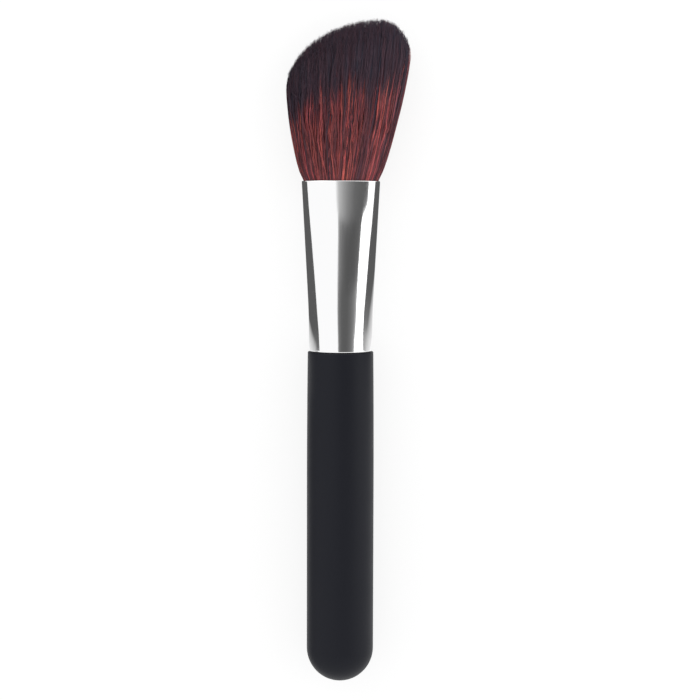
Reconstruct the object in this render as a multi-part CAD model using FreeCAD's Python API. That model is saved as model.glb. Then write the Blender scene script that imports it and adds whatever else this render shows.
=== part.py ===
# Angled makeup brush, lying on its broad side as it comes to rest on a table.
#
# A turned handle with a round butt carries a drawn metal ferrule on its tenon. The ferrule
# leaves the handle round and is pressed oval at its mouth, wide across the brush and thin
# through it. A bundle of hair, tied with thread and set in resin, fills the ferrule. It
# flares out of the mouth in locks that lean to one side and end in a slanted dome.
#
# The pieces are built upright, with the axis of the brush along Z and the round butt at
# zero, X across the broad side and Y through the thin side. The last step lays the brush
# down with its hair towards +Y. All sizes are in millimetres.
import FreeCAD, Part
import math
import os
import random

# Handle
grip_d = 16.8
handle_length = 83.6
neck_taper = 34.0
shoulder_step = 0.3
shoulder_break = 0.25
tenon_length = 9.0
tenon_taper = 0.5
tenon_chamfer = 1.5
tenon_fit = 0.04

# Ferrule, a drawn tube pressed oval towards its mouth
tube_d = 15.8
wall = 0.4
ferrule_length = 42.3
skirt_length = 4.0
press_blend = 10.0
mouth_width = 19.45
mouth_depth = 11.5
rim_break = 0.12
hem_break = 0.25

# Hair outside the mouth: the slanted outline seen from the broad side
tuft_width = 30.85
tuft_lean = 1.8
crown_height = 39.6
crown_offset = 9.0
short_side = 22.8
long_side = 30.9
spill = 0.4

# Bends of that outline, without unit: how the cut edge turns down at each side and how fast the
# hair leaves the ferrule's line
short_corner = 1.8
short_round = 0.52
long_corner = 2.6
long_round = 0.62
short_flare = 1.5
long_flare = 1.25
spill_bend = 12

# Hair through the thin side
tuft_depth = 16.9
belly_share = 0.55
belly_flare = 1.6

# Locks, ridges of hair with a groove between two and an uneven cut at the crown
locks_per_face = 20
groove = 0.45
tip_notch = 0.5
ridge_notch = 0.15
notch_bend = 6
shallowest = 0.6
uneven = 0.28
lock_seed = 11

# Root of the hair inside the ferrule
root_depth = 14.0
hair_fit = 0.1
thread_d = 0.6
thread_to_wall = 0.45
thread_turns = 4
thread_fit = 0.03
thread_above_butt = 2.0
resin_floor = 3.0
resin_over_thread = 1.5
resin_fit = 0.03

# Straight facets round each oval piece
ring_sides = 40

# Heights that the pieces share
seam = handle_length
mouth = seam + ferrule_length
butt_of_hair = mouth - root_depth
thread_low = butt_of_hair + thread_above_butt
thread_high = thread_low + thread_turns * thread_d
resin_low = butt_of_hair - resin_floor
resin_high = thread_high + resin_over_thread


def straight(points):
    """Straight edges from each point to the next."""
    return [Part.LineSegment(a, b).toShape() for a, b in zip(points, points[1:])]


def smooth(points):
    """One smooth edge through the points."""
    line = Part.BSplineCurve()
    line.interpolate(points)
    return line.toShape()


def skinned(sections, capped=()):
    """The solid inside a skin ruled from each section to the next, all round the axis.

    A section is a list of edges, and the edges of all sections match. capped names the ends of
    open sections, 0 for the first and -1 for the last, that a flat face closes.
    """
    skin = []
    for section, following in zip(sections, sections[1:] + sections[:1]):
        skin += [Part.makeRuledSurface(edge, beside) for edge, beside in zip(section, following)]
    for end in capped:
        rim = [section[end].Vertexes[end].Point for section in sections]
        skin.append(Part.Face(Part.makePolygon(rim + rim[:1])))
    shell = Part.Shell(skin)
    shell.sewShape()
    solid = Part.Solid(shell)
    if solid.Volume < 0:
        solid.reverse()
    return solid


def turns_round(count):
    """Angles evenly round the axis."""
    return [2 * math.pi * index / count for index in range(count)]


def pressed(rise):
    """How far the tube is pressed at a rise above the seam: 0 at its skirt, 1 at the mouth."""
    along = rise - skirt_length
    straight_part = ferrule_length - skirt_length - press_blend / 2
    if along <= 0:
        return 0.0
    if along < press_blend:
        return along * along / (2 * press_blend) / straight_part
    return (along - press_blend / 2) / straight_part


def ferrule_halves(rise, inset):
    """The ferrule's half width and half depth at a rise above the seam, less an inset."""
    share = pressed(rise)
    half_width = tube_d / 2 + (mouth_width - tube_d) / 2 * share
    half_depth = tube_d / 2 + (mouth_depth - tube_d) / 2 * share
    return half_width - inset, half_depth - inset


def on_oval(halves, turn, height):
    """The point of an oval about the axis at a turn, for its half width and half depth."""
    return FreeCAD.Vector(halves[0] * math.cos(turn), halves[1] * math.sin(turn), height)


def handle():
    """The turned handle: round butt, straight grip, slight taper to the neck, and the tenon."""
    grip = grip_d / 2
    neck = tube_d / 2 + shoulder_step
    tenon = tube_d / 2 - wall - tenon_fit
    tip = tenon - tenon_taper / 2
    top = seam + tenon_length

    def at(radius, height):
        return FreeCAD.Vector(radius, 0, height)

    butt = Part.Arc(
        at(0, 0), at(grip * math.sqrt(0.5), grip * (1 - math.sqrt(0.5))), at(grip, grip)
    )
    taper = Part.BezierCurve()
    taper.setPoles(
        [
            at(grip, seam - neck_taper),
            at(grip, seam - neck_taper / 2),
            at(neck, seam - shoulder_break),
        ]
    )
    outline = [
        butt,
        Part.LineSegment(at(grip, grip), at(grip, seam - neck_taper)),
        taper,
        Part.LineSegment(at(neck, seam - shoulder_break), at(neck - shoulder_break, seam)),
        Part.LineSegment(at(neck - shoulder_break, seam), at(tenon, seam)),
        Part.LineSegment(at(tenon, seam), at(tip, top - tenon_chamfer)),
        Part.LineSegment(at(tip, top - tenon_chamfer), at(tip - tenon_chamfer, top)),
        Part.LineSegment(at(tip - tenon_chamfer, top), at(0, top)),
        Part.LineSegment(at(0, top), at(0, 0)),
    ]
    profile = Part.Face(Part.Wire([curve.toShape() for curve in outline]))
    return profile.revolve(FreeCAD.Vector(0, 0, 0), FreeCAD.Vector(0, 0, 1), 360)


def ferrule():
    """The metal ferrule: round on the handle, pressed oval at the mouth, its cut edges broken."""
    stations = [skirt_length, skirt_length + press_blend / 2, skirt_length + press_blend]
    stations.append((stations[-1] + ferrule_length) / 2)
    sections = []
    for turn in turns_round(ring_sides):

        def wall_at(rise, inset):
            return on_oval(ferrule_halves(rise, inset), turn, seam + rise)

        outside = [hem_break] + stations + [ferrule_length - rim_break]
        inside = [ferrule_length - rim_break] + stations[::-1] + [0]
        rim = [wall_at(ferrule_length - rim_break, 0), wall_at(ferrule_length, rim_break)]
        rim += [wall_at(ferrule_length, wall - rim_break), wall_at(ferrule_length - rim_break, wall)]
        hem = [wall_at(0, wall), wall_at(0, hem_break), wall_at(hem_break, 0)]
        section = [smooth([wall_at(rise, 0) for rise in outside])]
        section += straight(rim)
        section.append(smooth([wall_at(rise, wall) for rise in inside]))
        section += straight(hem)
        sections.append(section)
    return skinned(sections)


def crown_at(across):
    """Height of the cut hair above the mouth, at a place across the brush."""
    low = tuft_lean - tuft_width / 2
    high = tuft_lean + tuft_width / 2
    if across < crown_offset:
        share = min(1.0, (crown_offset - across) / (crown_offset - low))
        return short_side + (crown_height - short_side) * (1 - share**short_corner) ** short_round
    share = min(1.0, (across - crown_offset) / (high - crown_offset))
    return long_side + (crown_height - long_side) * (1 - share**long_corner) ** long_round


def bundle_halves(height):
    """Half width and half depth of the hair inside the ferrule: tied at its root, filling the mouth."""
    tied = ferrule_halves(thread_high - seam, wall + thread_to_wall + thread_d + thread_fit)
    filled = ferrule_halves(ferrule_length, wall + hair_fit)
    share = max(0.0, (height - thread_high) / (mouth - thread_high))
    return [narrow + (wide - narrow) * share for narrow, wide in zip(tied, filled)]


def hair_line(turn, inset, notch):
    """One line of hair from the butt of the bundle, out of the mouth, over the belly to the crown.

    turn is the angle round the bundle. inset sinks the line below the outside of the tuft, as
    between two locks, and notch shortens it at the crown.
    """
    held = [on_oval(bundle_halves(height), turn, height) for height in (butt_of_hair, thread_high, mouth)]
    across, through = math.cos(turn), math.sin(turn)
    mouth_half_width, mouth_half_depth = bundle_halves(mouth)
    reach = crown_at(tuft_lean + tuft_width / 2 * across)
    flare = (short_flare + long_flare) / 2 - (short_flare - long_flare) / 2 * across
    places = [(belly_share * part, 1.0) for part in (0.15, 0.36, 0.65, 1.0)]
    for angle in (24, 46, 68, 90):
        over = math.radians(angle)
        places.append((belly_share + (1 - belly_share) * math.sin(over), math.cos(over)))
    free = [held[-1]]
    for share, dome in places:
        spread = 1 - (1 - share) ** flare
        swell = 1 - max(0.0, 1 - share / belly_share) ** belly_flare
        sprung = spill * (1 - share) * (1 - (1 - share) ** spill_bend)
        sunk = inset * min(1.0, share / places[1][0]) * dome
        half_width = mouth_half_width + (tuft_width / 2 - mouth_half_width) * spread + sprung - sunk
        half_depth = (mouth_half_depth + (tuft_depth / 2 - mouth_half_depth) * swell) * dome - sunk
        height = mouth + reach * share - notch * share**notch_bend
        free.append(
            FreeCAD.Vector(half_width * across + tuft_lean * spread, half_depth * through, height)
        )
    return straight(held) + [smooth(free)]


def bristle_tuft():
    """The whole bundle of hair as one solid, with a ridge for each lock and a groove between two."""
    chance = random.Random(lock_seed)
    count = 2 * locks_per_face
    front = []
    back = []
    for index in range(count + 1):
        edge_on = index in (0, count)
        shift = 0.0 if edge_on else chance.uniform(-uneven, uneven)
        depth = chance.uniform(shallowest, 1.0)
        turn = math.pi * (index + shift) / count
        between = index % 2
        notch = tip_notch * depth if between else ridge_notch * chance.random()
        front.append(hair_line(turn, groove * depth * between, notch))
        back.append(front[-1] if edge_on else hair_line(-turn, groove * depth * between, notch))
    return skinned(front + back[-2:0:-1], capped=(0,))


def wider(halves, extra):
    """An oval's half width and half depth, both larger by the same amount."""
    return [half + extra for half in halves]


def root_binding():
    """The thread wound round the root of the hair, turn beside turn."""
    inner = wider(bundle_halves(thread_low), thread_fit)
    middle = wider(inner, thread_d / 2)
    outer = wider(inner, thread_d)
    sections = []
    for turn in turns_round(ring_sides):
        outline = [on_oval(inner, turn, thread_high), on_oval(inner, turn, thread_low)]
        for wound in range(thread_turns):
            low = thread_low + wound * thread_d
            outline.append(on_oval(middle, turn, low))
            outline.append(on_oval(outer, turn, low + thread_d / 2))
        outline.append(on_oval(middle, turn, thread_high))
        outline.append(outline[0])
        sections.append(straight(outline))
    return skinned(sections)


def resin_plug():
    """The set resin that holds the tied root in the ferrule, with the hair coming out above."""
    around_root = wider(bundle_halves(thread_low), resin_fit)
    around_hair = wider(bundle_halves(resin_high), resin_fit)
    around_thread = wider(bundle_halves(thread_low), thread_fit + thread_d + thread_fit)
    against_wall = wall + resin_fit
    under_thread = thread_low - thread_fit
    over_thread = thread_high + thread_fit
    sections = []
    for turn in turns_round(ring_sides):
        outline = [
            on_oval(ferrule_halves(resin_low - seam, against_wall), turn, resin_low),
            on_oval(ferrule_halves(resin_high - seam, against_wall), turn, resin_high),
            on_oval(around_hair, turn, resin_high),
            on_oval(wider(bundle_halves(over_thread), resin_fit), turn, over_thread),
            on_oval(around_thread, turn, over_thread),
            on_oval(around_thread, turn, under_thread),
            on_oval(around_root, turn, under_thread),
            on_oval(around_root, turn, butt_of_hair - resin_fit),
        ]
        sections.append(straight(outline))
    return skinned(sections, capped=(0, -1))


def laid_down(shape, middle_x, middle_y, rest_height):
    """The upright shape turned to lie on its broad side, with its hair towards +Y."""
    placed = shape.copy()
    placed.rotate(FreeCAD.Vector(0, 0, 0), FreeCAD.Vector(1, 0, 0), -90)
    placed.translate(FreeCAD.Vector(-middle_x, -middle_y, rest_height))
    return placed


def main():
    pieces = {
        "handle": handle(),
        "ferrule": ferrule(),
        "bristle_tuft": bristle_tuft(),
        "root_binding": root_binding(),
        "resin_plug": resin_plug(),
    }
    rest_height = max(grip_d, tuft_depth) / 2
    middle_y = (mouth + crown_height) / 2
    os.makedirs("parts", exist_ok=True)
    for name, shape in pieces.items():
        placed = laid_down(shape, tuft_lean, middle_y, rest_height)
        placed.exportStep(os.path.join("parts", name + ".step"))
        print(name, "valid" if placed.isValid() else "NOT VALID", round(placed.Volume, 1))


main()
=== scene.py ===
import math
import bpy
from mathutils import Matrix, Vector


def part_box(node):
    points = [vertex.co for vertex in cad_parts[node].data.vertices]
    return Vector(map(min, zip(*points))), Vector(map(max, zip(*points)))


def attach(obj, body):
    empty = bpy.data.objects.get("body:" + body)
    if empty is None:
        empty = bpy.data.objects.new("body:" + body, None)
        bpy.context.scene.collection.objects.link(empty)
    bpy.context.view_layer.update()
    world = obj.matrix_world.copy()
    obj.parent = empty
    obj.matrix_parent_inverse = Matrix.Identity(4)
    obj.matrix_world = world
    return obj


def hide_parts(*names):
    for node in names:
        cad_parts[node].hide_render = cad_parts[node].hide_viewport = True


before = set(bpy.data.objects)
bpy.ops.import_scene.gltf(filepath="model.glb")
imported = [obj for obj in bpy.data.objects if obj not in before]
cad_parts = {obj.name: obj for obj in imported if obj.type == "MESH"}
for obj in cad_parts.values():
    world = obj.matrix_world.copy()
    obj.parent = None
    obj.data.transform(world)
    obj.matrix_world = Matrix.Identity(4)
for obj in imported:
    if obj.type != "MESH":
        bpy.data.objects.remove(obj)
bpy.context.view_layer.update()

# The handle is one piece of wood, turned round with a domed butt, a slight taper to the neck
# and a tenon that goes up inside the ferrule. It is sprayed with a matt black lacquer whose
# fine grain softens every reflection.
handle_low, handle_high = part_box("handle")
axis_x = (handle_low.x + handle_high.x) / 2
axis_z = (handle_low.z + handle_high.z) / 2
grip_radius = (handle_high.x - handle_low.x) / 2
seam_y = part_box("ferrule")[0].y
neck_taper = 0.034
neck_radius = 0.0082
shoulder_round = 0.0003
tenon_radius = 0.00746
tenon_tip_radius = 0.00721
tenon_chamfer = 0.0015
handle_sides = 144
butt_steps = 28
taper_steps = 13
edge_steps = 6
lacquer_black = (0.0072, 0.0080, 0.0128)


def mesh_piece(name, points, faces, material, crease_deg=40):
    mesh = bpy.data.meshes.new(name)
    mesh.from_pydata(points, [], faces)
    mesh.validate()
    mesh.shade_smooth()
    mesh.set_sharp_from_angle(angle=math.radians(crease_deg))
    mesh.materials.append(material)
    piece = bpy.data.objects.new(name, mesh)
    bpy.context.scene.collection.objects.link(piece)
    return piece


def turned(profile, sides):
    """Points and faces of (radius, y) stations turned about the brush's axis.

    The first and the last station lie on the axis and close the shape.
    """
    points = [(axis_x, profile[0][1], axis_z)]
    for radius, y in profile[1:-1]:
        for side in range(sides):
            turn = 2 * math.pi * side / sides
            points.append((axis_x + radius * math.cos(turn), y, axis_z + radius * math.sin(turn)))
    points.append((axis_x, profile[-1][1], axis_z))
    faces = []
    for side in range(sides):
        after = (side + 1) % sides
        faces.append((0, 1 + side, 1 + after))
        for ring in range(len(profile) - 3):
            low = 1 + ring * sides
            high = low + sides
            faces.append((low + side, high + side, high + after, low + after))
        last = 1 + (len(profile) - 3) * sides
        faces.append((last + side, len(points) - 1, last + after))
    return points, faces


def arc(centre_radius, centre_y, size, start_deg, end_deg, steps):
    """Stations (radius, y) along an arc; 0 degrees points outwards and 90 towards the hair."""
    stations = []
    for step in range(steps + 1):
        angle = math.radians(start_deg + (end_deg - start_deg) * step / steps)
        out, up = size * math.cos(angle), size * math.sin(angle)
        stations.append((centre_radius + out, centre_y + up))
    return stations


def coords(nodes):
    return nodes.new("ShaderNodeTexCoord").outputs["Object"]


def plain_material(name, colour, roughness, metallic=0.0, specular=0.5):
    material = bpy.data.materials.new(name)
    material.use_nodes = True
    shader = material.node_tree.nodes["Principled BSDF"]
    shader.inputs["Base Color"].default_value = (*colour, 1)
    shader.inputs["Roughness"].default_value = roughness
    shader.inputs["Metallic"].default_value = metallic
    shader.inputs["Specular IOR Level"].default_value = specular
    return material, material.node_tree, shader


handle_profile = arc(0, handle_low.y + grip_radius, grip_radius, -90, 0, butt_steps)
taper_low = seam_y - neck_taper
shoulder_y = seam_y - shoulder_round
for step in range(1, taper_steps):
    share = step / taper_steps
    radius = grip_radius - (grip_radius - neck_radius) * share**2
    handle_profile.append((radius, taper_low + (neck_taper - shoulder_round) * share))
handle_profile += arc(neck_radius - shoulder_round, shoulder_y, shoulder_round, 0, 90, edge_steps)
handle_profile += [
    (tenon_radius, seam_y),
    (tenon_tip_radius, handle_high.y - tenon_chamfer),
    (tenon_tip_radius - tenon_chamfer, handle_high.y),
    (0, handle_high.y),
]

lacquer, tree, shader = plain_material("matt_black_lacquer", lacquer_black, 0.5, specular=0.17)
spray = tree.nodes.new("ShaderNodeTexNoise")
spray.inputs["Scale"].default_value = 5200
spray.inputs["Detail"].default_value = 3
cloud = tree.nodes.new("ShaderNodeTexNoise")
cloud.inputs["Scale"].default_value = 160
cloud.inputs["Detail"].default_value = 4
rough = tree.nodes.new("ShaderNodeMapRange")
rough.inputs["From Min"].default_value = 0.35
rough.inputs["From Max"].default_value = 0.65
rough.inputs["To Min"].default_value = 0.475
rough.inputs["To Max"].default_value = 0.505
grain = tree.nodes.new("ShaderNodeBump")
grain.inputs["Strength"].default_value = 0.25
grain.inputs["Distance"].default_value = 0.00004
place = coords(tree.nodes)
tree.links.new(place, spray.inputs["Vector"])
tree.links.new(place, cloud.inputs["Vector"])
tree.links.new(cloud.outputs["Fac"], rough.inputs["Value"])
tree.links.new(rough.outputs["Result"], shader.inputs["Roughness"])
tree.links.new(spray.outputs["Fac"], grain.inputs["Height"])
tree.links.new(grain.outputs["Normal"], shader.inputs["Normal"])

handle = mesh_piece("turned_handle", *turned(handle_profile, handle_sides), lacquer)
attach(handle, "root")
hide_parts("handle")

# The ferrule is drawn from thin metal tube. It grips the tenon as a round tube, is pressed
# oval towards its mouth, and is polished to a mirror. Its cut edges are softened, and the
# lower one meets the handle's shoulder.
ferrule_low, ferrule_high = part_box("ferrule")
mouth_y = ferrule_high.y
ferrule_length = mouth_y - seam_y
tube_radius = 0.0079
wall = 0.0004
skirt_length = 0.004
press_blend = 0.010
mouth_half_width = (ferrule_high.x - ferrule_low.x) / 2
mouth_half_depth = 0.00575
rim_round = 0.0002
hem_round = 0.0004
edge_hold = 0.0002
ferrule_sides = 192
ferrule_stations = 30
hem_steps = 6
rim_steps = 5


def pressed(rise):
    """How far the tube is pressed at a rise above the seam: 0 at the skirt, 1 at the mouth."""
    along = rise - skirt_length
    straight = ferrule_length - skirt_length - press_blend / 2
    if along <= 0:
        return 0.0
    if along < press_blend:
        return along * along / (2 * press_blend) / straight
    return (along - press_blend / 2) / straight


def ferrule_point(rise, inset, turn):
    half_width = tube_radius + (mouth_half_width - tube_radius) * pressed(rise) - inset
    half_depth = tube_radius + (mouth_half_depth - tube_radius) * pressed(rise) - inset
    x, z = half_width * math.cos(turn), half_depth * math.sin(turn)
    return (axis_x + x, seam_y + rise, axis_z + z)


# Stations (rise, inset) round the wall: up its outside from the hem to the rim, down its inside
rim_rise = ferrule_length - rim_round
lift = (ferrule_length - rim_round - hem_round) / ferrule_stations
rises = [hem_round + lift * step for step in range(1, ferrule_stations)]
hem = arc(hem_round, hem_round, -hem_round, 90, 0, hem_steps)
rim = arc(rim_round, rim_rise, -rim_round, 0, -90, rim_steps)
section = [(rise, inset) for inset, rise in hem]
section += [(rise, 0) for rise in (hem_round + edge_hold, *rises, rim_rise - edge_hold)]
section += [(rise, inset) for inset, rise in rim]
section += [(rise, wall) for rise in (rim_rise, *reversed(rises), 0)]
points = []
faces = []
for side in range(ferrule_sides):
    turn = 2 * math.pi * side / ferrule_sides
    points += [ferrule_point(rise, inset, turn) for rise, inset in section]
    for station in range(len(section)):
        after = (station + 1) % len(section)
        here = side * len(section)
        beside = (side + 1) % ferrule_sides * len(section)
        faces.append((here + station, here + after, beside + after, beside + station))

mirror, tree, shader = plain_material("polished_ferrule", (0.965, 0.965, 0.97), 0.06, metallic=1.0)
stretch = tree.nodes.new("ShaderNodeMapping")
stretch.inputs["Scale"].default_value = (900, 40, 900)
drawn = tree.nodes.new("ShaderNodeTexNoise")
drawn.inputs["Scale"].default_value = 1
drawn.inputs["Detail"].default_value = 3
rough = tree.nodes.new("ShaderNodeMapRange")
rough.inputs["From Min"].default_value = 0.35
rough.inputs["From Max"].default_value = 0.7
rough.inputs["To Min"].default_value = 0.045
rough.inputs["To Max"].default_value = 0.09
tree.links.new(coords(tree.nodes), stretch.inputs["Vector"])
tree.links.new(stretch.outputs["Vector"], drawn.inputs["Vector"])
tree.links.new(drawn.outputs["Fac"], rough.inputs["Value"])
tree.links.new(rough.outputs["Result"], shader.inputs["Roughness"])

ferrule = mesh_piece("pressed_ferrule", points, faces, mirror)
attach(ferrule, "root")
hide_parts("ferrule")

# The root of the hair is wound with thread and set in clear amber resin inside the ferrule.
# Both are hidden, and keep their solids with a material of their own.
resin, tree, shader = plain_material("amber_resin", (0.55, 0.36, 0.12), 0.15)
bubbles = tree.nodes.new("ShaderNodeTexNoise")
bubbles.inputs["Scale"].default_value = 700
tint = tree.nodes.new("ShaderNodeMix")
tint.data_type = "RGBA"
tint.inputs["A"].default_value = (0.42, 0.25, 0.07, 1)
tint.inputs["B"].default_value = (0.68, 0.48, 0.2, 1)
tree.links.new(coords(tree.nodes), bubbles.inputs["Vector"])
tree.links.new(bubbles.outputs["Fac"], tint.inputs["Factor"])
tree.links.new(tint.outputs["Result"], shader.inputs["Base Color"])
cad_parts["resin_plug"].data.materials.clear()
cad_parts["resin_plug"].data.materials.append(resin)

thread, tree, shader = plain_material("binding_thread", (0.72, 0.68, 0.6), 0.85)
twist = tree.nodes.new("ShaderNodeTexWave")
twist.wave_type = "BANDS"
twist.bands_direction = "DIAGONAL"
twist.inputs["Scale"].default_value = 900
ply = tree.nodes.new("ShaderNodeBump")
ply.inputs["Distance"].default_value = 0.0001
tree.links.new(coords(tree.nodes), twist.inputs["Vector"])
tree.links.new(twist.outputs["Fac"], ply.inputs["Height"])
tree.links.new(ply.outputs["Normal"], shader.inputs["Normal"])
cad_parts["root_binding"].data.materials.clear()
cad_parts["root_binding"].data.materials.append(thread)

# The tuft is thousands of tapered hairs, set by hand so that their tips form a slanted dome.
# They fan out of the oval mouth, hold together in fine locks, and are dyed from a red root to
# a black tip, some far lower than others.
tuft_low, tuft_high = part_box("bristle_tuft")
hair_clear = 0.0001
tuft_sizes = {
    "Mouth half width": mouth_half_width - wall - hair_clear,
    "Mouth half depth": mouth_half_depth - wall - hair_clear,
    "Root half width": 0.0078,
    "Root half depth": 0.0049,
    "Root y": tuft_low.y,
    "Mouth y": mouth_y,
    "Axis x": axis_x,
    "Axis z": axis_z,
    "Half width": (tuft_high.x - tuft_low.x) / 2,
    "Half depth": (tuft_high.z - tuft_low.z) / 2,
    "Lean": (tuft_high.x + tuft_low.x) / 2 - axis_x,
    "Crown height": 0.0396,
    "Crown offset": 0.0090,
    "Short side": 0.0228,
    "Long side": 0.0309,
    "Short corner": 1.8,
    "Short round": 0.52,
    "Long corner": 2.6,
    "Long round": 0.62,
    "Short flare": 1.5,
    "Long flare": 1.25,
    "Spill": 0.0007,
    "Spill bend": 12.0,
    "Belly share": 0.55,
    "Belly flare": 1.6,
    "Hair radius": 0.000064,
    "Tip share": 0.3,
    "Tip creep": 0.75,
    "Lock size": 0.0011,
    "Lock pull": 0.0012,
    "Lock depth": 0.0005,
    "Lock turn": 0.0008,
    "Lock shift": 0.05,
    "Ragged": 0.0006,
    "Cut": 0.0006,
    "Strand cut": 0.0006,
    "Strand size": 0.00022,
    "Strand gather": 0.5,
    "Crossing gather": 0.88,
    "Strand lean": 0.0034,
    "Strand wave": 0.00055,
    "Strand lift": 0.0006,
    "Crossing share": 0.16,
    "Crossing lean": 3.0,
    "Loose": 0.00025,
    "Stray share": 0.03,
    "Stray reach": 0.0016,
    "Patch share": 0.25,
    "Dye contrast": 1.43,
    "Dye offset": -0.215,
    "Crossing dye": 0.88,
    "Crossing dye share": 0.55,
    "Redder side": 0.58,
    "Redder bend": 10.0,
}
# Dye, from 0 for black to 1 for red: its patches across a face, from the short side of the
# slant to the long one on the upper face, the colours of both dyes, and how far up the red goes
dye_patches = (
    (0, 0.4), (0.11, 0.25), (0.22, 0.58), (0.34, 0.3), (0.47, 0.75), (0.58, 0.7),
    (0.71, 0.1), (0.79, 0.55), (0.86, 0.25), (1, 0.42),
)
black_dye = (
    (0.38, (0.024, 0.031, 0.051)),
    (0.6, (0.053, 0.041, 0.064)),
    (0.85, (0.105, 0.045, 0.060)),
)
warm_black = (0.125, 0.046, 0.056)
red_dye = (
    (0.0, (0.115, 0.042, 0.050)),
    (0.5, (0.145, 0.047, 0.055)),
    (0.74, (0.24, 0.060, 0.063)),
    (0.86, (0.49, 0.105, 0.096)),
    (1.0, (0.60, 0.134, 0.116)),
)
red_reach = ((0.0, 0.0), (0.2, 0.33), (0.5, 0.545), (0.8, 0.615), (1.0, 0.69))
red_fade = 0.13


def put(tree, value, socket):
    """Feed a socket from another one, or with a plain value."""
    if isinstance(value, bpy.types.NodeSocket):
        tree.links.new(value, socket)
    else:
        socket.default_value = value


def math_node(tree, operation, *values):
    node = tree.nodes.new("ShaderNodeMath")
    node.operation = operation
    for value, socket in zip(values, node.inputs):
        put(tree, value, socket)
    return node.outputs[0]


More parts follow.
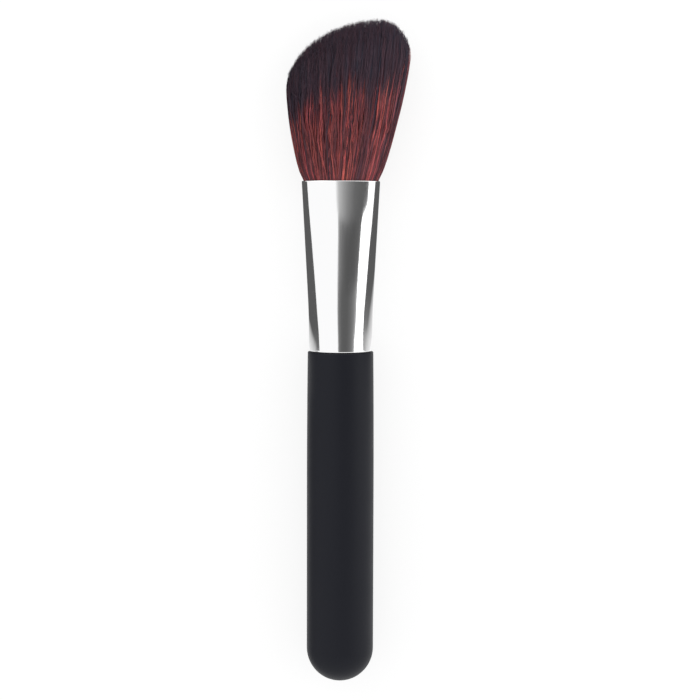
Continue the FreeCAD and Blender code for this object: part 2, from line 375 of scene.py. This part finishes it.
def hair_tree(material):
    """Geometry Nodes that grow hairs between two shells of the bundle.

    The UV map of each hair holds its dye and how high up the tuft each point is.
    """
    tree = bpy.data.node_groups.new("hair", "GeometryNodeTree")
    tree.interface.new_socket("Geometry", in_out="OUTPUT", socket_type="NodeSocketGeometry")
    for name in ("Hairs", "Points", "Seed"):
        tree.interface.new_socket(name, in_out="INPUT", socket_type="NodeSocketInt")
    for name in ("Inner", "Outer", "Start turn"):
        tree.interface.new_socket(name, in_out="INPUT", socket_type="NodeSocketFloat")
    for name in tuft_sizes:
        tree.interface.new_socket(name, in_out="INPUT", socket_type="NodeSocketFloat")
    given = tree.nodes.new("NodeGroupInput").outputs

    def calc(operation, *values):
        return math_node(tree, operation, *values)

    def plus(total, *others):
        for other in others:
            total = calc("ADD", total, other)
        return total

    def times(product, *others):
        for other in others:
            product = calc("MULTIPLY", product, other)
        return product

    def less(a, b):
        return calc("SUBTRACT", a, b)

    def over(a, b):
        return calc("DIVIDE", a, b)

    def power(a, b):
        return calc("POWER", a, b)

    def at_least(a, b):
        return calc("MAXIMUM", a, b)

    def at_most(a, b):
        return calc("MINIMUM", a, b)

    def blend(a, b, share):
        return plus(a, times(less(b, a), share))

    def choose(test, if_true, if_false):
        return blend(if_false, if_true, test)

    def vector(x, y, z):
        node = tree.nodes.new("ShaderNodeCombineXYZ")
        for value, socket in zip((x, y, z), node.inputs):
            put(tree, value, socket)
        return node.outputs[0]

    def chance(low, high, draw):
        """A number between low and high for each hair; draw tells one draw from another."""
        node = tree.nodes.new("FunctionNodeRandomValue")
        node.data_type = "FLOAT"
        floats = [socket for socket in node.inputs if socket.type == "VALUE"]
        put(tree, low, floats[0])
        put(tree, high, floats[1])
        put(tree, hair, node.inputs["ID"])
        put(tree, plus(given["Seed"], draw), node.inputs["Seed"])
        return [socket for socket in node.outputs if socket.type == "VALUE"][0]

    def strand_chance(draw):
        """A number from 0 to 1 that all hairs of one strand share."""
        node = tree.nodes.new("ShaderNodeTexWhiteNoise")
        node.noise_dimensions = "4D"
        put(tree, strand_cell, node.inputs["Vector"])
        put(tree, plus(given["Seed"], draw), node.inputs["W"])
        return node.outputs["Value"]

    def noise(place, scale):
        node = tree.nodes.new("ShaderNodeTexNoise")
        put(tree, place, node.inputs["Vector"])
        put(tree, scale, node.inputs["Scale"])
        node.inputs["Detail"].default_value = 1.0
        return node.outputs["Fac"]

    line = tree.nodes.new("GeometryNodeCurvePrimitiveLine")
    divided = tree.nodes.new("GeometryNodeResampleCurve")
    put(tree, given["Points"], divided.inputs["Count"])
    copied = tree.nodes.new("GeometryNodeDuplicateElements")
    copied.domain = "SPLINE"
    tree.links.new(line.outputs[0], divided.inputs["Curve"])
    tree.links.new(divided.outputs[0], copied.inputs["Geometry"])
    tree.links.new(given["Hairs"], copied.inputs["Amount"])
    hair = tree.nodes.new("GeometryNodeCurveOfPoint").outputs["Curve Index"]
    step = tree.nodes.new("GeometryNodeSplineParameter").outputs["Index"]

    # Where the hair stands in the bundle: 0 on the axis and 1 on the outside
    rho = calc("SQRT", chance(power(given["Inner"], 2), power(given["Outer"], 2), 1))
    turn = plus(given["Start turn"], chance(0.0, math.pi, 2))
    across = times(rho, calc("COSINE", turn))
    through = times(rho, calc("SINE", turn))
    chord = calc("SQRT", less(1.0, power(across, 2)))
    depth = over(calc("ABSOLUTE", through), chord)
    face = calc("SIGN", through)

    # How high the cut is above this hair
    tip_x = plus(given["Lean"], times(given["Half width"], across))
    from_crown = less(tip_x, given["Crown offset"])
    long_span = less(plus(given["Lean"], given["Half width"]), given["Crown offset"])
    short_span = less(given["Crown offset"], less(given["Lean"], given["Half width"]))

    def crown(span, side, corner, bend):
        """Height of the cut on one side of its peak."""
        # Just under 1, so that rounding can't make a power's base negative
        share = at_most(over(calc("ABSOLUTE", from_crown), span), 0.9999)
        rise = power(less(1.0, power(share, given[corner])), given[bend])
        return blend(given[side], given["Crown height"], rise)

    top = choose(
        calc("GREATER_THAN", from_crown, 0.0),
        crown(long_span, "Long side", "Long corner", "Long round"),
        crown(short_span, "Short side", "Short corner", "Short round"),
    )
    middle_flare = times(plus(given["Short flare"], given["Long flare"]), 0.5)
    flare = blend(middle_flare, given["Long flare"], across)

    # How far along the cut height this point lies; the tips creep up the dome by chance
    belly = given["Belly share"]
    touch = blend(belly, 1.0, calc("SQRT", less(1.0, power(depth, 2))))
    end = blend(touch, 1.0, times(given["Tip creep"], chance(0.0, 1.0, 3)))
    along = at_least(over(less(step, 1.0), less(given["Points"], 2.0)), 0.0)
    share = times(end, along)
    left = less(1.0, share)
    spread = less(1.0, power(left, flare))
    early = at_least(less(1.0, over(share, belly)), 0.0)
    swell = less(1.0, power(early, given["Belly flare"]))
    past = over(at_least(less(share, belly), 0.0), less(1.0, belly))
    dome = calc("SQRT", at_least(less(1.0, power(past, 2)), 0.0))
    spill = times(given["Spill"], left, less(1.0, power(left, given["Spill bend"])))
    settled = at_most(times(share, 3.0), 1.0)

    # Strands: a few hairs that gather, lean, wave and stand proud together
    root_x = times(across, given["Mouth half width"])
    root_z = times(through, given["Mouth half depth"])
    column = calc("FLOOR", over(root_x, given["Strand size"]))
    strand_cell = vector(column, calc("FLOOR", over(root_z, given["Strand size"])), 0.0)
    middle = times(plus(column, 0.5), given["Strand size"])
    fanned = over(given["Half width"], given["Mouth half width"])
    crossing = calc("LESS_THAN", strand_chance(5), given["Crossing share"])
    tightness = blend(given["Strand gather"], given["Crossing gather"], crossing)
    gather = times(less(middle, root_x), fanned, tightness, settled)
    strand_lean = times(less(strand_chance(1), 0.5), given["Strand lean"])
    strand_lean = times(strand_lean, calc("MULTIPLY_ADD", crossing, given["Crossing lean"], 1.0))
    bowed = times(strand_lean, share, left)
    bend = plus(strand_chance(plus(step, 20.0)), strand_chance(plus(step, 21.0)))
    wave = times(less(bend, 1.0), given["Strand wave"], plus(crossing, 1.0))
    wave = times(wave, at_most(times(share, 4.0), 1.0), less(1.0, power(share, 4.0)))
    proud = times(less(strand_chance(3), 1.0), given["Strand lift"], less(1.0, crossing))

    # Locks: near hairs are pulled the same way, more so towards the tip
    lock_scale = over(1.0, given["Lock size"])
    lock_z = times(through, given["Half depth"])
    pull_cell = vector(tip_x, lock_z, times(share, given["Lock turn"]))
    lift_cell = vector(plus(tip_x, given["Lock shift"]), lock_z, 0.0)
    pull = times(less(noise(pull_cell, lock_scale), 0.5), given["Lock pull"])
    lift = times(less(noise(lift_cell, lock_scale), 0.75), given["Lock depth"])
    lift = times(plus(lift, proud), settled, dome)
    drift = times(given["Loose"], chance(-1.0, 1.0, 4))
    stray = calc("LESS_THAN", chance(0.0, 1.0, 5), given["Stray share"])
    stray = times(stray, given["Stray reach"], chance(-1.0, 1.0, 6))
    aside = times(plus(pull, drift, stray), share)
    aside = times(plus(aside, bowed, gather, wave), chord)

    # The uneven cut: of the locks, of each hair and of each strand
    uneven = times(less(noise(lift_cell, times(lock_scale, 1.7)), 0.6), given["Ragged"])
    uneven = plus(uneven, times(given["Cut"], chance(-1.0, 0.4, 9)))
    uneven = plus(uneven, times(given["Strand cut"], less(strand_chance(6), 0.7)))

    # The free points of the hair, and its first point, which is held in the ferrule
    half_width = plus(blend(given["Mouth half width"], given["Half width"], spread), spill)
    half_depth = plus(blend(given["Mouth half depth"], given["Half depth"], swell), lift)
    x = plus(times(half_width, across), times(given["Lean"], spread), aside)
    y = plus(given["Mouth y"], times(plus(top, uneven), share))
    z = times(half_depth, times(at_most(depth, dome), chord, face))
    held_x = times(given["Root half width"], across)
    held_z = times(given["Root half depth"], through)
    free = vector(plus(given["Axis x"], x), y, plus(given["Axis z"], z))
    held = vector(plus(given["Axis x"], held_x), given["Root y"], plus(given["Axis z"], held_z))
    pick = tree.nodes.new("GeometryNodeSwitch")
    pick.input_type = "VECTOR"
    put(tree, calc("GREATER_THAN", step, 0.5), pick.inputs["Switch"])
    put(tree, free, pick.inputs["True"])
    put(tree, held, pick.inputs["False"])
    placed = tree.nodes.new("GeometryNodeSetPosition")
    tree.links.new(copied.outputs["Geometry"], placed.inputs["Geometry"])
    tree.links.new(pick.outputs[0], placed.inputs["Position"])

    # Dye: the hairs of a strand share it, in darker and redder patches across each face
    patches = tree.nodes.new("ShaderNodeFloatCurve")
    curve = patches.mapping.curves[0]
    for place, redness in dye_patches:
        if 0 < place < 1:
            curve.points.new(place, redness)
        else:
            curve.points[round(place)].location = (place, redness)
    patches.mapping.update()
    put(tree, calc("MULTIPLY_ADD", times(across, face), 0.5, 0.5), patches.inputs["Value"])
    dye = blend(strand_chance(4), patches.outputs[0], given["Patch share"])
    dye = calc("MULTIPLY_ADD", dye, given["Dye contrast"], given["Dye offset"])
    dye = at_most(at_least(dye, 0.0), 1.0)
    dye = blend(dye, given["Crossing dye"], times(crossing, given["Crossing dye share"]))
    # Each hair differs a little from its strand, and both UV numbers stay between 0 and 1
    dye = plus(times(dye, 0.94), chance(0.01, 0.04, 7))

    # The red climbs higher at the long side of the slant
    long_side = times(power(at_least(across, 0.0), given["Redder bend"]), given["Redder side"])
    dyed_share = times(share, less(1.0, long_side))
    dyed_share = plus(calc("MULTIPLY_ADD", dyed_share, 0.9, 0.05), chance(-0.045, 0.045, 10))

    def stored(geometry, name, value, kind, domain):
        node = tree.nodes.new("GeometryNodeStoreNamedAttribute")
        node.data_type = kind
        node.domain = domain
        node.inputs["Name"].default_value = name
        tree.links.new(geometry, node.inputs["Geometry"])
        put(tree, value, node.inputs["Value"])
        return node.outputs["Geometry"]

    def named(name):
        node = tree.nodes.new("GeometryNodeInputNamedAttribute")
        node.data_type = "FLOAT"
        node.inputs["Name"].default_value = name
        return node.outputs["Attribute"]

    # Three-sided hairs that taper to the tip; the sides differ a little in dye
    taper = less(1.0, times(power(along, 3), less(1.0, given["Tip share"])))
    thick = times(given["Hair radius"], taper, chance(0.8, 1.2, 8))
    dyed = stored(placed.outputs["Geometry"], "dye", dye, "FLOAT", "POINT")
    dyed = stored(dyed, "share", dyed_share, "FLOAT", "POINT")
    ring = tree.nodes.new("GeometryNodeCurvePrimitiveCircle")
    ring.inputs["Resolution"].default_value = 3
    ring.inputs["Radius"].default_value = 1
    corner = tree.nodes.new("GeometryNodeInputIndex").outputs[0]
    sided = stored(ring.outputs["Curve"], "side", corner, "FLOAT", "POINT")
    solid = tree.nodes.new("GeometryNodeCurveToMesh")
    solid.inputs["Fill Caps"].default_value = True
    tree.links.new(dyed, solid.inputs["Curve"])
    tree.links.new(thick, solid.inputs["Scale"])
    tree.links.new(sided, solid.inputs["Profile Curve"])
    uv = vector(plus(named("dye"), times(named("side"), 0.002)), named("share"), 0.0)
    mapped = stored(solid.outputs["Mesh"], "OFBake", uv, "FLOAT2", "CORNER")
    smooth = tree.nodes.new("GeometryNodeSetShadeSmooth")
    real = tree.nodes.new("GeometryNodeRealizeInstances")
    finish = tree.nodes.new("GeometryNodeSetMaterial")
    finish.inputs["Material"].default_value = material
    out = tree.nodes.new("NodeGroupOutput")
    tree.links.new(mapped, smooth.inputs["Geometry"])
    tree.links.new(smooth.outputs["Geometry"], real.inputs["Geometry"])
    tree.links.new(real.outputs["Geometry"], finish.inputs["Geometry"])
    tree.links.new(finish.outputs["Geometry"], out.inputs[0])
    return tree


def hair_material():
    """Dyed synthetic hair. U of its UV map is the dye, and V is how high up the tuft it is."""
    material, tree, shader = plain_material("dyed_hair", (0.03, 0.02, 0.03), 0.42, specular=0.24)
    uv = tree.nodes.new("ShaderNodeUVMap")
    uv.uv_map = "OFBake"
    split = tree.nodes.new("ShaderNodeSeparateXYZ")
    tree.links.new(uv.outputs["UV"], split.inputs["Vector"])
    dye = split.outputs["X"]
    height = split.outputs["Y"]

    def ranged(value, low, high, to_low, to_high, smooth=False):
        node = tree.nodes.new("ShaderNodeMapRange")
        node.interpolation_type = "SMOOTHSTEP" if smooth else "LINEAR"
        ends = {"From Min": low, "From Max": high, "To Min": to_low, "To Max": to_high}
        for name, number in ends.items():
            put(tree, number, node.inputs[name])
        put(tree, value, node.inputs["Value"])
        return node.outputs["Result"]

    def mottled(across, along, offset):
        """Noise in long streaks; across and along say how often it changes on the UV map."""
        node = tree.nodes.new("ShaderNodeTexNoise")
        node.inputs["Scale"].default_value = 1
        node.inputs["Detail"].default_value = 1
        place = tree.nodes.new("ShaderNodeMapping")
        place.inputs["Location"].default_value = (offset, 0, 0)
        place.inputs["Scale"].default_value = (across, along, 1)
        tree.links.new(uv.outputs["UV"], place.inputs["Vector"])
        tree.links.new(place.outputs["Vector"], node.inputs["Vector"])
        return node.outputs["Fac"]

    def ramp(value, stops):
        node = tree.nodes.new("ShaderNodeValToRGB")
        elements = node.color_ramp.elements
        while len(elements) < len(stops):
            elements.new(0.5)
        for element, (place, colour) in zip(elements, stops):
            element.position = place
            element.color = (*colour, 1)
        tree.links.new(value, node.inputs["Fac"])
        return node.outputs["Color"]

    def mixed(factor, a, b):
        node = tree.nodes.new("ShaderNodeMix")
        node.data_type = "RGBA"
        for name, value in (("Factor", factor), ("A", a), ("B", b)):
            put(tree, value, node.inputs[name])
        return node.outputs["Result"]

    # Black dye, from blue to brown by streaks, and warmer near the mouth
    streaks = math_node(tree, "MULTIPLY_ADD", dye, 0.19, mottled(150, 6.0, 3.0))
    near_mouth = ranged(height, 0.15, 0.72, 0.55, 0.0, smooth=True)
    warmth = math_node(tree, "MULTIPLY_ADD", dye, 0.3, near_mouth)
    black = mixed(warmth, ramp(streaks, black_dye), (*warm_black, 1))

    # Red dye, uneven in brightness and hue
    red = tree.nodes.new("ShaderNodeHueSaturation")
    put(tree, ranged(mottled(210, 14.0, 9.0), 0.3, 0.7, 0.55, 1.45), red.inputs["Value"])
    put(tree, ranged(mottled(90, 3.0, 17.0), 0.3, 0.7, 0.485, 0.51), red.inputs["Hue"])
    put(tree, ramp(dye, red_dye), red.inputs["Color"])

    # The red fades into the black at a height that each strand's dye sets
    reach = ramp(dye, [(place, (share, share, share)) for place, share in red_reach])
    reach_low = math_node(tree, "SUBTRACT", reach, red_fade)
    red_share = ranged(height, reach_low, reach, 1.0, 0.0, smooth=True)
    put(tree, mixed(red_share, black, red.outputs["Color"]), shader.inputs["Base Color"])
    return material


# Name, number of hairs, points on each, inner and outer place in the bundle, start turn and seed
hair_shells = (
    ("hair_upper_face", 2900, 12, 0.90, 1.0, 0.0, 11),
    ("hair_lower_face", 2900, 12, 0.90, 1.0, math.pi, 23),
    ("hair_upper_fill", 3800, 8, 0.55, 0.90, 0.0, 37),
    ("hair_lower_fill", 3600, 8, 0.55, 0.90, math.pi, 41),
    ("hair_upper_core", 1600, 8, 0.0, 0.55, 0.0, 53),
    ("hair_lower_core", 1600, 8, 0.0, 0.55, math.pi, 67),
)
dyed_hair = hair_material()
grow = hair_tree(dyed_hair)
for name, hairs, hair_points, inner, outer, start_turn, seed in hair_shells:
    seedling = bpy.data.objects.new(name + "_growing", bpy.data.meshes.new(name + "_empty"))
    bpy.context.scene.collection.objects.link(seedling)
    modifier = seedling.modifiers.new("grow", "NODES")
    modifier.node_group = grow
    values = dict(tuft_sizes, Hairs=hairs, Points=hair_points, Seed=seed, Inner=inner, Outer=outer)
    values["Start turn"] = start_turn
    for item in grow.interface.items_tree:
        if item.in_out == "INPUT":
            modifier[item.identifier] = values[item.name]
    bpy.context.view_layer.update()
    grown = seedling.evaluated_get(bpy.context.evaluated_depsgraph_get())
    tuft = bpy.data.objects.new(name, bpy.data.meshes.new_from_object(grown))
    bpy.context.scene.collection.objects.link(tuft)
    bpy.data.objects.remove(seedling)
    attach(tuft, "root")
    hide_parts("bristle_tuft")

# The brush is photographed from above on a white table, in a white tent. Dark and grey cards
# round it draw the bands on the mirror of the ferrule; only reflections see them.
world = bpy.context.scene.world or bpy.data.worlds.new("tent")
bpy.context.scene.world = world
world.use_nodes = True
sky = world.node_tree.nodes["Background"]
sky.inputs["Color"].default_value = (1, 1, 1, 1)
sky.inputs["Strength"].default_value = 1.0

table_colour = 0.8
table_half = 1.5
table_glow = 0.8
# The camera and reflections see the table nearly white, with a faint shadow. All other light
# meets plain, pale grey paper.
table, tree, shader = plain_material("white_table", (table_colour,) * 3, 0.6, specular=0.0)
path = tree.nodes.new("ShaderNodeLightPath")
mirrored = tree.nodes.new("ShaderNodeMath")
mirrored.operation = "MAXIMUM"
seen = tree.nodes.new("ShaderNodeMath")
seen.operation = "MAXIMUM"
brighter = tree.nodes.new("ShaderNodeMix")
brighter.data_type = "RGBA"
brighter.inputs["A"].default_value = (table_colour, table_colour, table_colour, 1)
brighter.inputs["B"].default_value = (1, 1, 1, 1)
tree.links.new(path.outputs["Is Glossy Ray"], mirrored.inputs[0])
tree.links.new(path.outputs["Is Transmission Ray"], mirrored.inputs[1])
tree.links.new(path.outputs["Is Camera Ray"], seen.inputs[0])
tree.links.new(mirrored.outputs[0], seen.inputs[1])
tree.links.new(seen.outputs[0], brighter.inputs["Factor"])
tree.links.new(brighter.outputs["Result"], shader.inputs["Base Color"])
lit = tree.nodes.new("ShaderNodeMath")
lit.operation = "MULTIPLY"
lit.inputs[1].default_value = table_glow
white = tree.nodes.new("ShaderNodeEmission")
paper = tree.nodes.new("ShaderNodeMixShader")
tree.links.new(seen.outputs[0], lit.inputs[0])
tree.links.new(lit.outputs[0], paper.inputs["Fac"])
tree.links.new(shader.outputs["BSDF"], paper.inputs[1])
tree.links.new(white.outputs["Emission"], paper.inputs[2])
tree.links.new(paper.outputs["Shader"], tree.nodes["Material Output"].inputs["Surface"])
corners = [(x * table_half, y * table_half, 0) for x, y in ((-1, -1), (1, -1), (1, 1), (-1, 1))]
floor = mesh_piece("table", corners, [(0, 1, 2, 3)], table)


def card(name, rows, shades):
    """A card of points row by row, each with its own brightness, which only reflections see."""
    width = len(rows[0])
    faces = []
    for row in range(len(rows) - 1):
        for column in range(width - 1):
            here = row * width + column
            faces.append((here, here + 1, here + width + 1, here + width))
    material = bpy.data.materials.new(name)
    material.use_nodes = True
    nodes = material.node_tree.nodes
    nodes.clear()
    shade = nodes.new("ShaderNodeVertexColor")
    shade.layer_name = "shade"
    glow = nodes.new("ShaderNodeEmission")
    out = nodes.new("ShaderNodeOutputMaterial")
    material.node_tree.links.new(shade.outputs["Color"], glow.inputs["Color"])
    material.node_tree.links.new(glow.outputs[0], out.inputs["Surface"])
    piece = mesh_piece(name, [point for row in rows for point in row], faces, material)
    colours = piece.data.color_attributes.new("shade", "FLOAT_COLOR", "POINT")
    for index, value in enumerate(value for row in shades for value in row):
        colours.data[index].color = (value, value, value, 1)
    piece.visible_camera = False
    piece.visible_diffuse = False
    piece.visible_shadow = False
    piece.visible_transmission = False


# Curved grey card overhead. Each row gives the angle from straight up and the place along the
# brush from the seam, first of its left end and then of its right end, and its brightness
# across. The right end steps in where the ferrule is pressed oval.
low_grey = (0.42, 0.18, 0.115, 0.105, 0.105, 0.14, 0.22, 0.5)
mid_grey = (0.5, 0.22, 0.14, 0.105, 0.085, 0.09, 0.105, 0.17)
faded_grey = (0.8, 0.5, 0.325, 0.22, 0.135, 0.104, 0.11, 0.17)
card_columns = (0, 0.07, 0.2, 0.33, 0.5, 0.7, 0.87, 1)
card_distance = 0.7
step_in = 1.6
overhead = (
    (-8.2, -0.200, 49.5, -0.200, low_grey),
    (-8.2, -0.0514, 49.5, -0.0514, low_grey),
    (-8.9, -0.0478, 51.8, -0.0479, low_grey),
    (-10.3, -0.0092, 55.9, -0.0208, low_grey),
    (-10.7, 0.0335, 56.2, 0.0070, low_grey),
    (-9.9, 0.0776, 54.9, 0.0370, low_grey),
    (-8.3, 0.0922, 52.7, 0.0508, mid_grey),
    (-7.1, 0.1065, 52.3, 0.0629, mid_grey),
    (-6.2, 0.1174, 51.2, 0.0734, mid_grey),
    (-6.0, 0.1246, 50.1, 0.0810, mid_grey),
    (-6.0, 0.1297, 51.3, 0.0834, mid_grey),
    (-6.5, 0.1318, 54.2, 0.0819, faded_grey),
    (-7.0, 0.1340, 58.6, 0.0779, faded_grey),
    (-8.0, 0.1361, 63.5, 0.0737, faded_grey),
    (-9.0, 0.1390, 66.2, 0.0733, faded_grey),
    (-9.0, 0.1463, 64.6, 0.0803, faded_grey),
    (-9.0, 0.1528, 63.0, 0.0872, faded_grey),
    (-9.0, 0.300, 62.0, 0.220, faded_grey),
)
rows = []
for left_deg, left_along, right_deg, right_along, _ in overhead:
    row = []
    for column in card_columns:
        angle = math.radians(left_deg + (right_deg - left_deg) * column)
        along = left_along + (right_along - left_along) * column**step_in
        off, high = card_distance * math.sin(angle), card_distance * math.cos(angle)
        row.append((axis_x + off, seam_y + along, axis_z + high))
    rows.append(row)
card("overhead_card", rows, [station[-1] for station in overhead])

# Dark cards that lie beside the ferrule and turn up at their far edges. They are painted shade:
# only reflections see them, and they put the shaded table beside the ferrule into the mirror as
# dark bands. Each row gives the place along the brush and the distance from the axis where it
# starts, the place along and the height of its far edge, and its brightness.
left_beside = (
    (-0.0090, 0.0900, -0.0100, 0.0330, 0.35),
    (-0.0060, 0.0900, -0.0085, 0.0312, 0.28),
    (-0.0029, 0.0707, -0.0072, 0.0290, 0.16),
    (-0.0004, 0.0443, -0.0060, 0.0268, 0.14),
    (0.0010, 0.0354, -0.0051, 0.0256, 0.13),
    (0.0029, 0.0236, -0.0034, 0.0235, 0.12),
    (0.0044, 0.0180, -0.0015, 0.0205, 0.105),
    (0.0058, 0.0144, 0.0002, 0.0172, 0.1),
    (0.0077, 0.0098, 0.0025, 0.0135, 0.1),
    (0.0093, 0.0075, 0.0050, 0.0105, 0.1),
    (0.0119, 0.0068, 0.0082, 0.0092, 0.1),
    (0.0200, 0.0068, 0.0175, 0.0098, 0.1),
    (0.0288, 0.0068, 0.0280, 0.0086, 0.1),
    (0.0364, 0.0075, 0.0370, 0.0068, 0.1),
    (0.0425, 0.0078, 0.0430, 0.0092, 0.1),
    (0.0540, 0.0078, 0.0545, 0.0092, 0.1),
)
right_beside = (
    (-0.0103, 0.0900, -0.0085, 0.0150, 0.45),
    (-0.0028, 0.0780, -0.0062, 0.0154, 0.38),
    (0.0016, 0.0455, -0.0033, 0.0156, 0.32),
    (0.0037, 0.0322, -0.0016, 0.0142, 0.235),
    (0.0052, 0.0266, 0.0001, 0.0121, 0.2),
    (0.0072, 0.0226, 0.0024, 0.0113, 0.165),
    (0.0093, 0.0198, 0.0050, 0.0095, 0.144),
    (0.0119, 0.0161, 0.0079, 0.0065, 0.12),
    (0.0146, 0.0141, 0.0110, 0.0060, 0.105),
    (0.0199, 0.0100, 0.0171, 0.0066, 0.1),
    (0.0250, 0.0095, 0.0233, 0.0070, 0.1),
    (0.0288, 0.0095, 0.0277, 0.0046, 0.1),
    (0.0313, 0.0100, 0.0305, 0.0014, 0.1),
    (0.0425, 0.0095, 0.0424, 0.0005, 0.1),
    (0.0540, 0.0095, 0.0540, 0.0005, 0.1),
)
near_reaches = (0.3, 0.8, 1.25)
near_greys = (0.85, 0.5)
far_edge = 0.12
card_clear = 0.0002
for name, side, beside in (("left_card", -1, left_beside), ("right_card", 1, right_beside)):
    rows = []
    shades = []
    for along, near, far_along, top, dark in beside:
        stations = [(near * reach, along, 0) for reach in near_reaches]
        stations += [(far_edge, far_along, 0), (far_edge, far_along, top)]
        row = []
        for off, place, high in stations:
            row.append((axis_x + side * off, seam_y + place, card_clear + high))
        rows.append(row)
        shades.append((*near_greys, dark, dark, dark))
    card(name, rows, shades)

# Grey card on the table along the left of the handle, which only reflections see: a painted,
# darker reflection along the lacquer's left edge
handle_card_offs = (0.02, 0.25)
handle_card_alongs = (-0.13, -0.013)
handle_card_grey = 0.4
rows = []
for along in handle_card_alongs:
    rows.append([(axis_x - off, seam_y + along, card_clear) for off in handle_card_offs])
card("handle_card", rows, [(handle_card_grey,) * 2] * 2)

# Two soft lamps: a broad key from the right and a weaker fill from the upper left
for name, place, aim, width, height, energy in (
    ("tent_key", (0.62, 0.12, 0.36), (0, 0, 0), 0.6, 0.8, 1.2),
    ("tent_fill", (-0.3, 0.35, 0.3), (0, 0.06, 0), 0.4, 0.4, 0.5),
):
    lamp = bpy.data.lights.new(name, "AREA")
    lamp.shape = "RECTANGLE"
    lamp.size = width
    lamp.size_y = height
    lamp.energy = energy
    hung = bpy.data.objects.new(name, lamp)
    hung.location = place
    hung.rotation_euler = (Vector(aim) - hung.location).to_track_quat("-Z", "Y").to_euler()
    bpy.context.scene.collection.objects.link(hung)

# The camera stands above the ferrule and is tipped to centre the brush, as its curved seams
# show in the photograph.
camera_height = 0.375
camera_y = seam_y + 0.02923
aim_x = axis_x + 0.00236
aim_y = seam_y + 0.00033
frame_width = 0.175
roll_deg = 0.16
camera = bpy.data.cameras.new("camera")
camera.sensor_width = 36
camera.lens = camera.sensor_width * math.hypot(camera_height, camera_y - aim_y) / frame_width
camera.clip_start = 0.01
camera_object = bpy.data.objects.new("camera", camera)
bpy.context.scene.collection.objects.link(camera_object)
stand = Vector((aim_x, camera_y, axis_z + camera_height))
look = (Vector((aim_x, aim_y, axis_z)) - stand).normalized()
right = Vector((1, 0, 0))
up = right.cross(look)
turn = Matrix((right, up, -look)).transposed().to_4x4()
roll = Matrix.Rotation(math.radians(roll_deg), 4, "Z")
camera_object.matrix_world = Matrix.Translation(stand) @ turn @ roll
bpy.context.scene.camera = camera_object
bpy.context.scene.view_settings.view_transform = "Standard"
